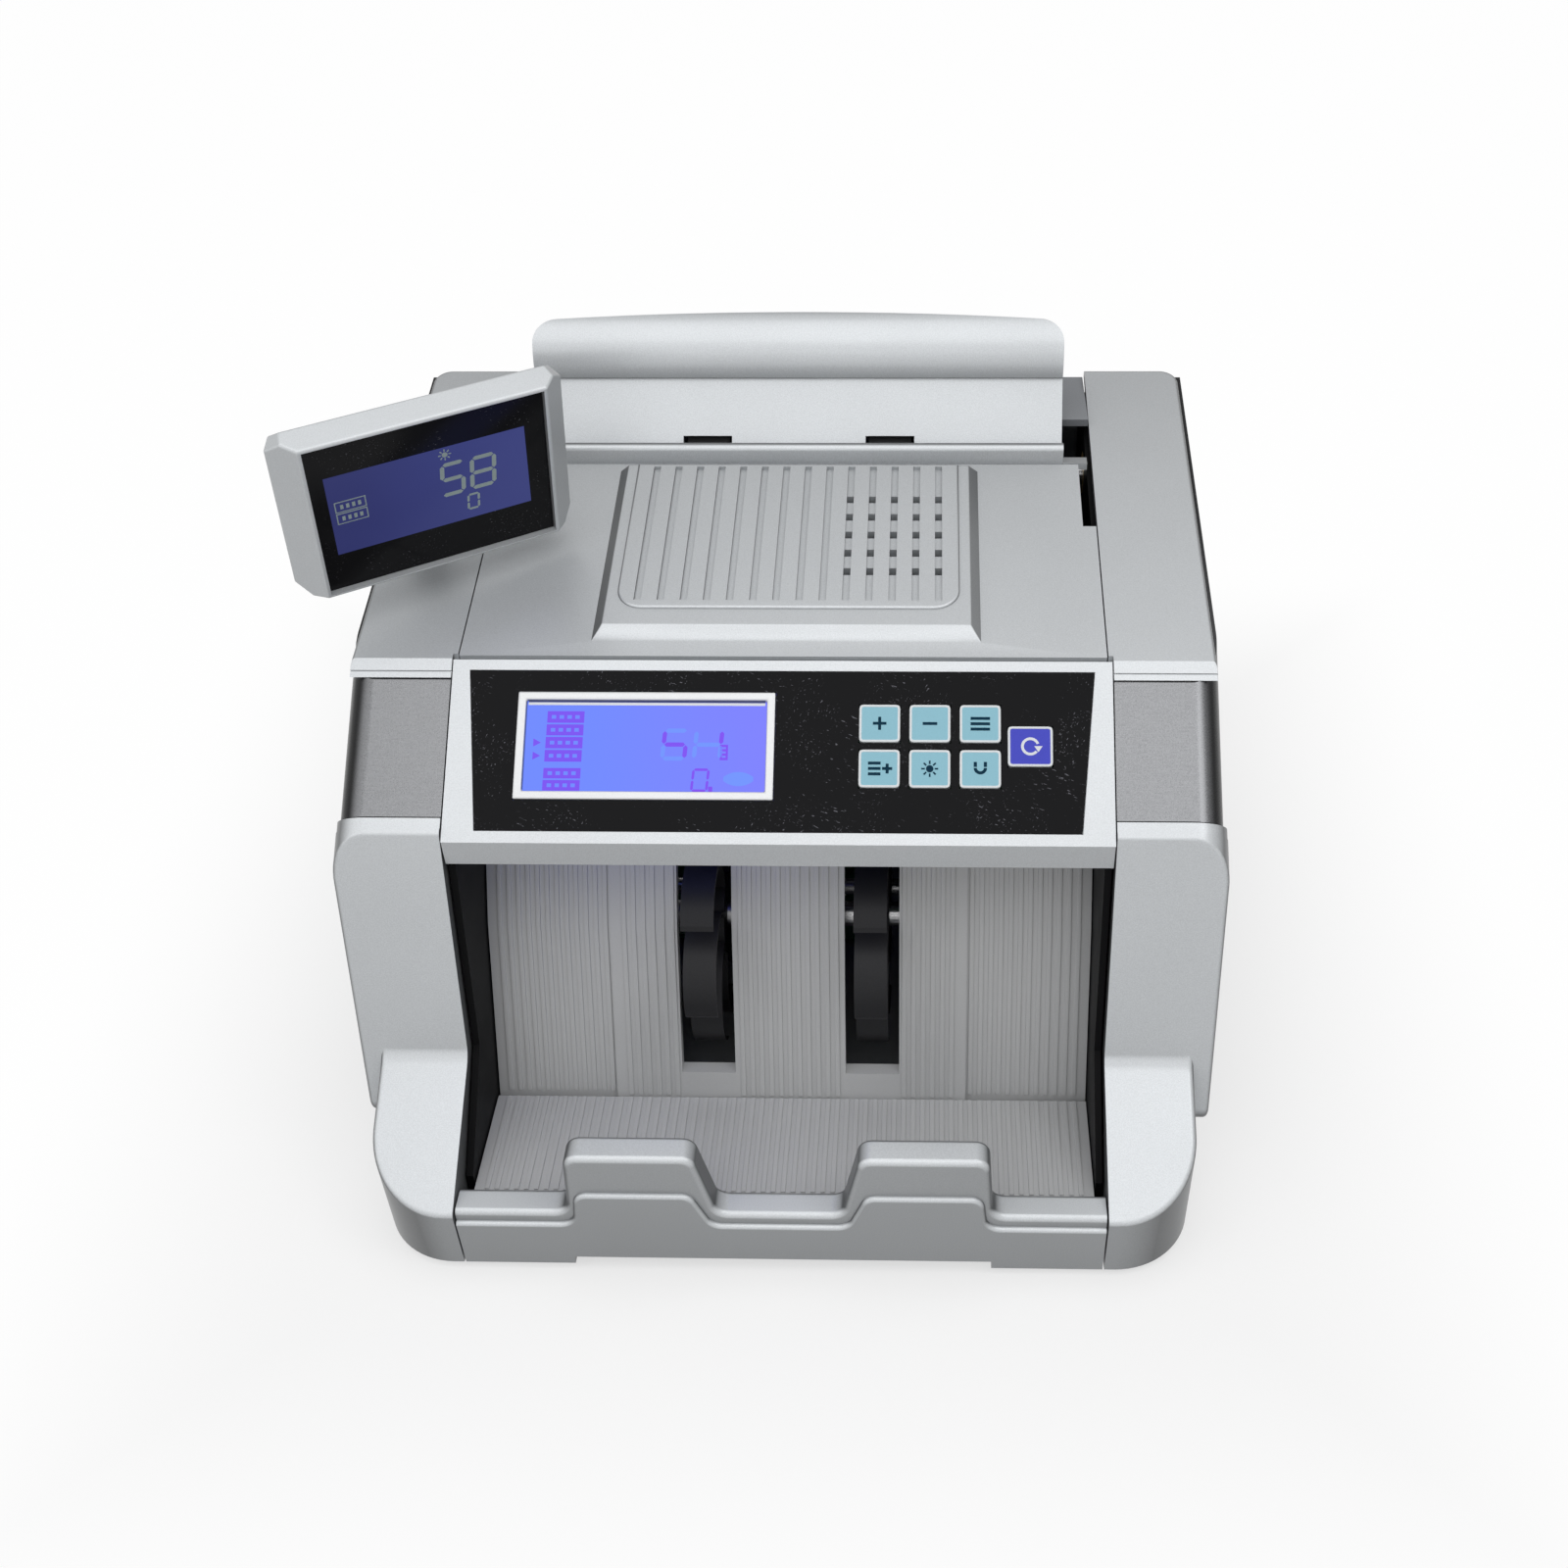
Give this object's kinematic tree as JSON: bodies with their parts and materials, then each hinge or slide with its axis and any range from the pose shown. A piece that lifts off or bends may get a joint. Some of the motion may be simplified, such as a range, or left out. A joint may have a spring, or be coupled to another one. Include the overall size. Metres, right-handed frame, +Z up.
{
  "type": "banknote counting machine",
  "caption": "Desktop banknote counter with a rear feed hopper, sloped control panel with keys and screen, open front stacker pocket and a separate swivelling display.",
  "frame": {"origin": "centre of the bounding box at table height, below the middle of the machine", "axes": "+X to the right seen from the front, +Y to the rear, +Z up"},
  "size_m": [0.2714, 0.2427, 0.2256],
  "materials": {
    "silver_paint": "smooth silver-grey paint",
    "satin_metal": "grained metallic grey",
    "grey_plastic": "fine matt grain",
    "pale_plastic": "fine vertical ribs",
    "black_plate": "black sheet metal",
    "black_gloss": "glossy black film",
    "bright_rim": "bright silver",
    "lcd_blue": "blue backlit panel",
    "key_cyan": "pale cyan",
    "key_blue": "violet blue",
    "board_green": "circuit board",
    "rubber": "matt black",
    "steel": "turned",
    "brass": "sintered",
    "wheel_plastic": "dark soft plastic",
    "motor_steel": "plated steel",
    "black_plastic": "black, fine grain",
    "rocker_black": "black gloss",
    "silver_plastic": "smooth silver-grey paint",
    "smoked_window": "dark smoked pane",
    "lcd_dark": "dark blue panel",
    "lamp_glass": "tube lamp"
  },
  "bodies": {
    "body": {"base_tray": "grey_plastic", "centre_cover": "silver_paint", "cover_screws": "steel", "display_socket": "black_plastic", "feed_belt": "rubber", "front_lip": "silver_paint", "hopper_back_rest": "silver_paint", "hopper_fence": "silver_paint", "keypad_board": "board_green", "lamp": "lamp_glass", "lcd_frame": "bright_rim", "lcd_module": "lcd_blue", "left_band": "satin_metal", "left_cheek": "silver_paint", "left_frame_plate": "black_plate", "left_top_cover": "silver_paint", "main_board": "board_green", "motor": "motor_steel", "motor_belt": "rubber", "panel_frame": "silver_paint", "panel_overlay": "black_gloss", "power_inlet": "black_plastic", "rear_cover": "grey_plastic", "right_band": "satin_metal", "right_cheek": "silver_paint", "right_frame_plate": "black_plate", "right_top_cover": "silver_paint", "rubber_feet": "rubber", "sensor_board": "board_green", "shaft_bushes": "brass", "stacker_belt": "rubber", "stacker_floor": "pale_plastic", "stacker_wall": "pale_plastic", "switch_frame": "black_plastic", "tie_rods": "steel", "transformer": "motor_steel", "upper_note_guide": "pale_plastic"},
    "drive_roller_set": {"drive_shaft": "steel", "drive_rollers": "rubber"},
    "feed_roller_set": {"feed_shaft": "steel", "feed_rollers": "rubber"},
    "pressure_roller_set": {"pressure_roller": "steel"},
    "stacker_wheel_set": {"stacker_shaft": "steel", "left_finger_wheel": "wheel_plastic", "right_finger_wheel": "wheel_plastic"},
    "motor_rotor": {"motor_pulley": "steel"},
    "rocker": {"power_rocker": "rocker_black"},
    "display_stand": {"display_post": "black_plastic"},
    "display": {"display_housing": "silver_plastic", "display_window": "smoked_window", "display_lcd": "lcd_dark", "display_back": "black_plastic"},
    "key_plus_cap": {"key_plus": "key_cyan"},
    "key_minus_cap": {"key_minus": "key_cyan"},
    "key_batch_cap": {"key_batch": "key_cyan"},
    "key_add_cap": {"key_add": "key_cyan"},
    "key_lamp_cap": {"key_lamp": "key_cyan"},
    "key_magnet_cap": {"key_magnet": "key_cyan"},
    "key_restart_cap": {"key_restart": "key_blue"}
  },
  "joints": [
    {"name": "key_plus_press", "type": "slide", "parent": "body", "child": "key_plus_cap", "axis": [0, 0.5878, -0.809], "range_m": [0, 0.0005], "stiffness_N_per_m": 900},
    {"name": "key_minus_press", "type": "slide", "parent": "body", "child": "key_minus_cap", "axis": [0, 0.5878, -0.809], "range_m": [0, 0.0005], "stiffness_N_per_m": 900},
    {"name": "key_batch_press", "type": "slide", "parent": "body", "child": "key_batch_cap", "axis": [0, 0.5878, -0.809], "range_m": [0, 0.0005], "stiffness_N_per_m": 900},
    {"name": "key_add_press", "type": "slide", "parent": "body", "child": "key_add_cap", "axis": [0, 0.5878, -0.809], "range_m": [0, 0.0005], "stiffness_N_per_m": 900},
    {"name": "key_lamp_press", "type": "slide", "parent": "body", "child": "key_lamp_cap", "axis": [0, 0.5878, -0.809], "range_m": [0, 0.0005], "stiffness_N_per_m": 900},
    {"name": "key_magnet_press", "type": "slide", "parent": "body", "child": "key_magnet_cap", "axis": [0, 0.5878, -0.809], "range_m": [0, 0.0005], "stiffness_N_per_m": 900},
    {"name": "key_restart_press", "type": "slide", "parent": "body", "child": "key_restart_cap", "axis": [0, 0.5878, -0.809], "range_m": [0, 0.0005], "stiffness_N_per_m": 900},
    {"name": "power_rocker_tilt", "type": "hinge", "parent": "body", "child": "rocker", "pos_m": [0.03467, 0.116, 0.04], "axis": [1, 0, 0], "range_deg": [0, 16]},
    {"name": "drive_spin", "type": "hinge", "parent": "body", "child": "drive_roller_set", "pos_m": [0.00567, 0.057, 0.137], "axis": [1, 0, 0], "continuous": true},
    {"name": "feed_spin", "type": "hinge", "parent": "body", "child": "feed_roller_set", "pos_m": [0.00567, 0.087, 0.1558], "axis": [1, 0, 0], "continuous": true},
    {"name": "stacker_spin", "type": "hinge", "parent": "body", "child": "stacker_wheel_set", "pos_m": [0.00567, -0.027, 0.06], "axis": [1, 0, 0], "continuous": true},
    {"name": "pressure_spin", "type": "hinge", "parent": "body", "child": "pressure_roller_set", "pos_m": [0.00567, 0.0324, 0.137], "axis": [1, 0, 0], "continuous": true},
    {"name": "motor_spin", "type": "hinge", "parent": "body", "child": "motor_rotor", "pos_m": [0.08567, 0.075, 0.048], "axis": [1, 0, 0], "continuous": true},
    {"name": "display_swivel", "type": "hinge", "parent": "body", "child": "display_stand", "pos_m": [-0.11073, 0.0339, 0.176], "axis": [0, 0, 1], "range_deg": [-45, 15]},
    {"name": "display_tilt", "type": "hinge", "parent": "display_stand", "child": "display", "pos_m": [-0.11073, 0.0339, 0.19847], "axis": [-0.8572, -0.515, 0], "range_deg": [0, 25]}
  ],
  "couplings": [
    {"joint": "feed_spin", "follows": "drive_spin", "ratio": 1},
    {"joint": "stacker_spin", "follows": "drive_spin", "ratio": 0.75},
    {"joint": "pressure_spin", "follows": "drive_spin", "ratio": -2},
    {"joint": "motor_spin", "follows": "drive_spin", "ratio": 1.5556}
  ]
}
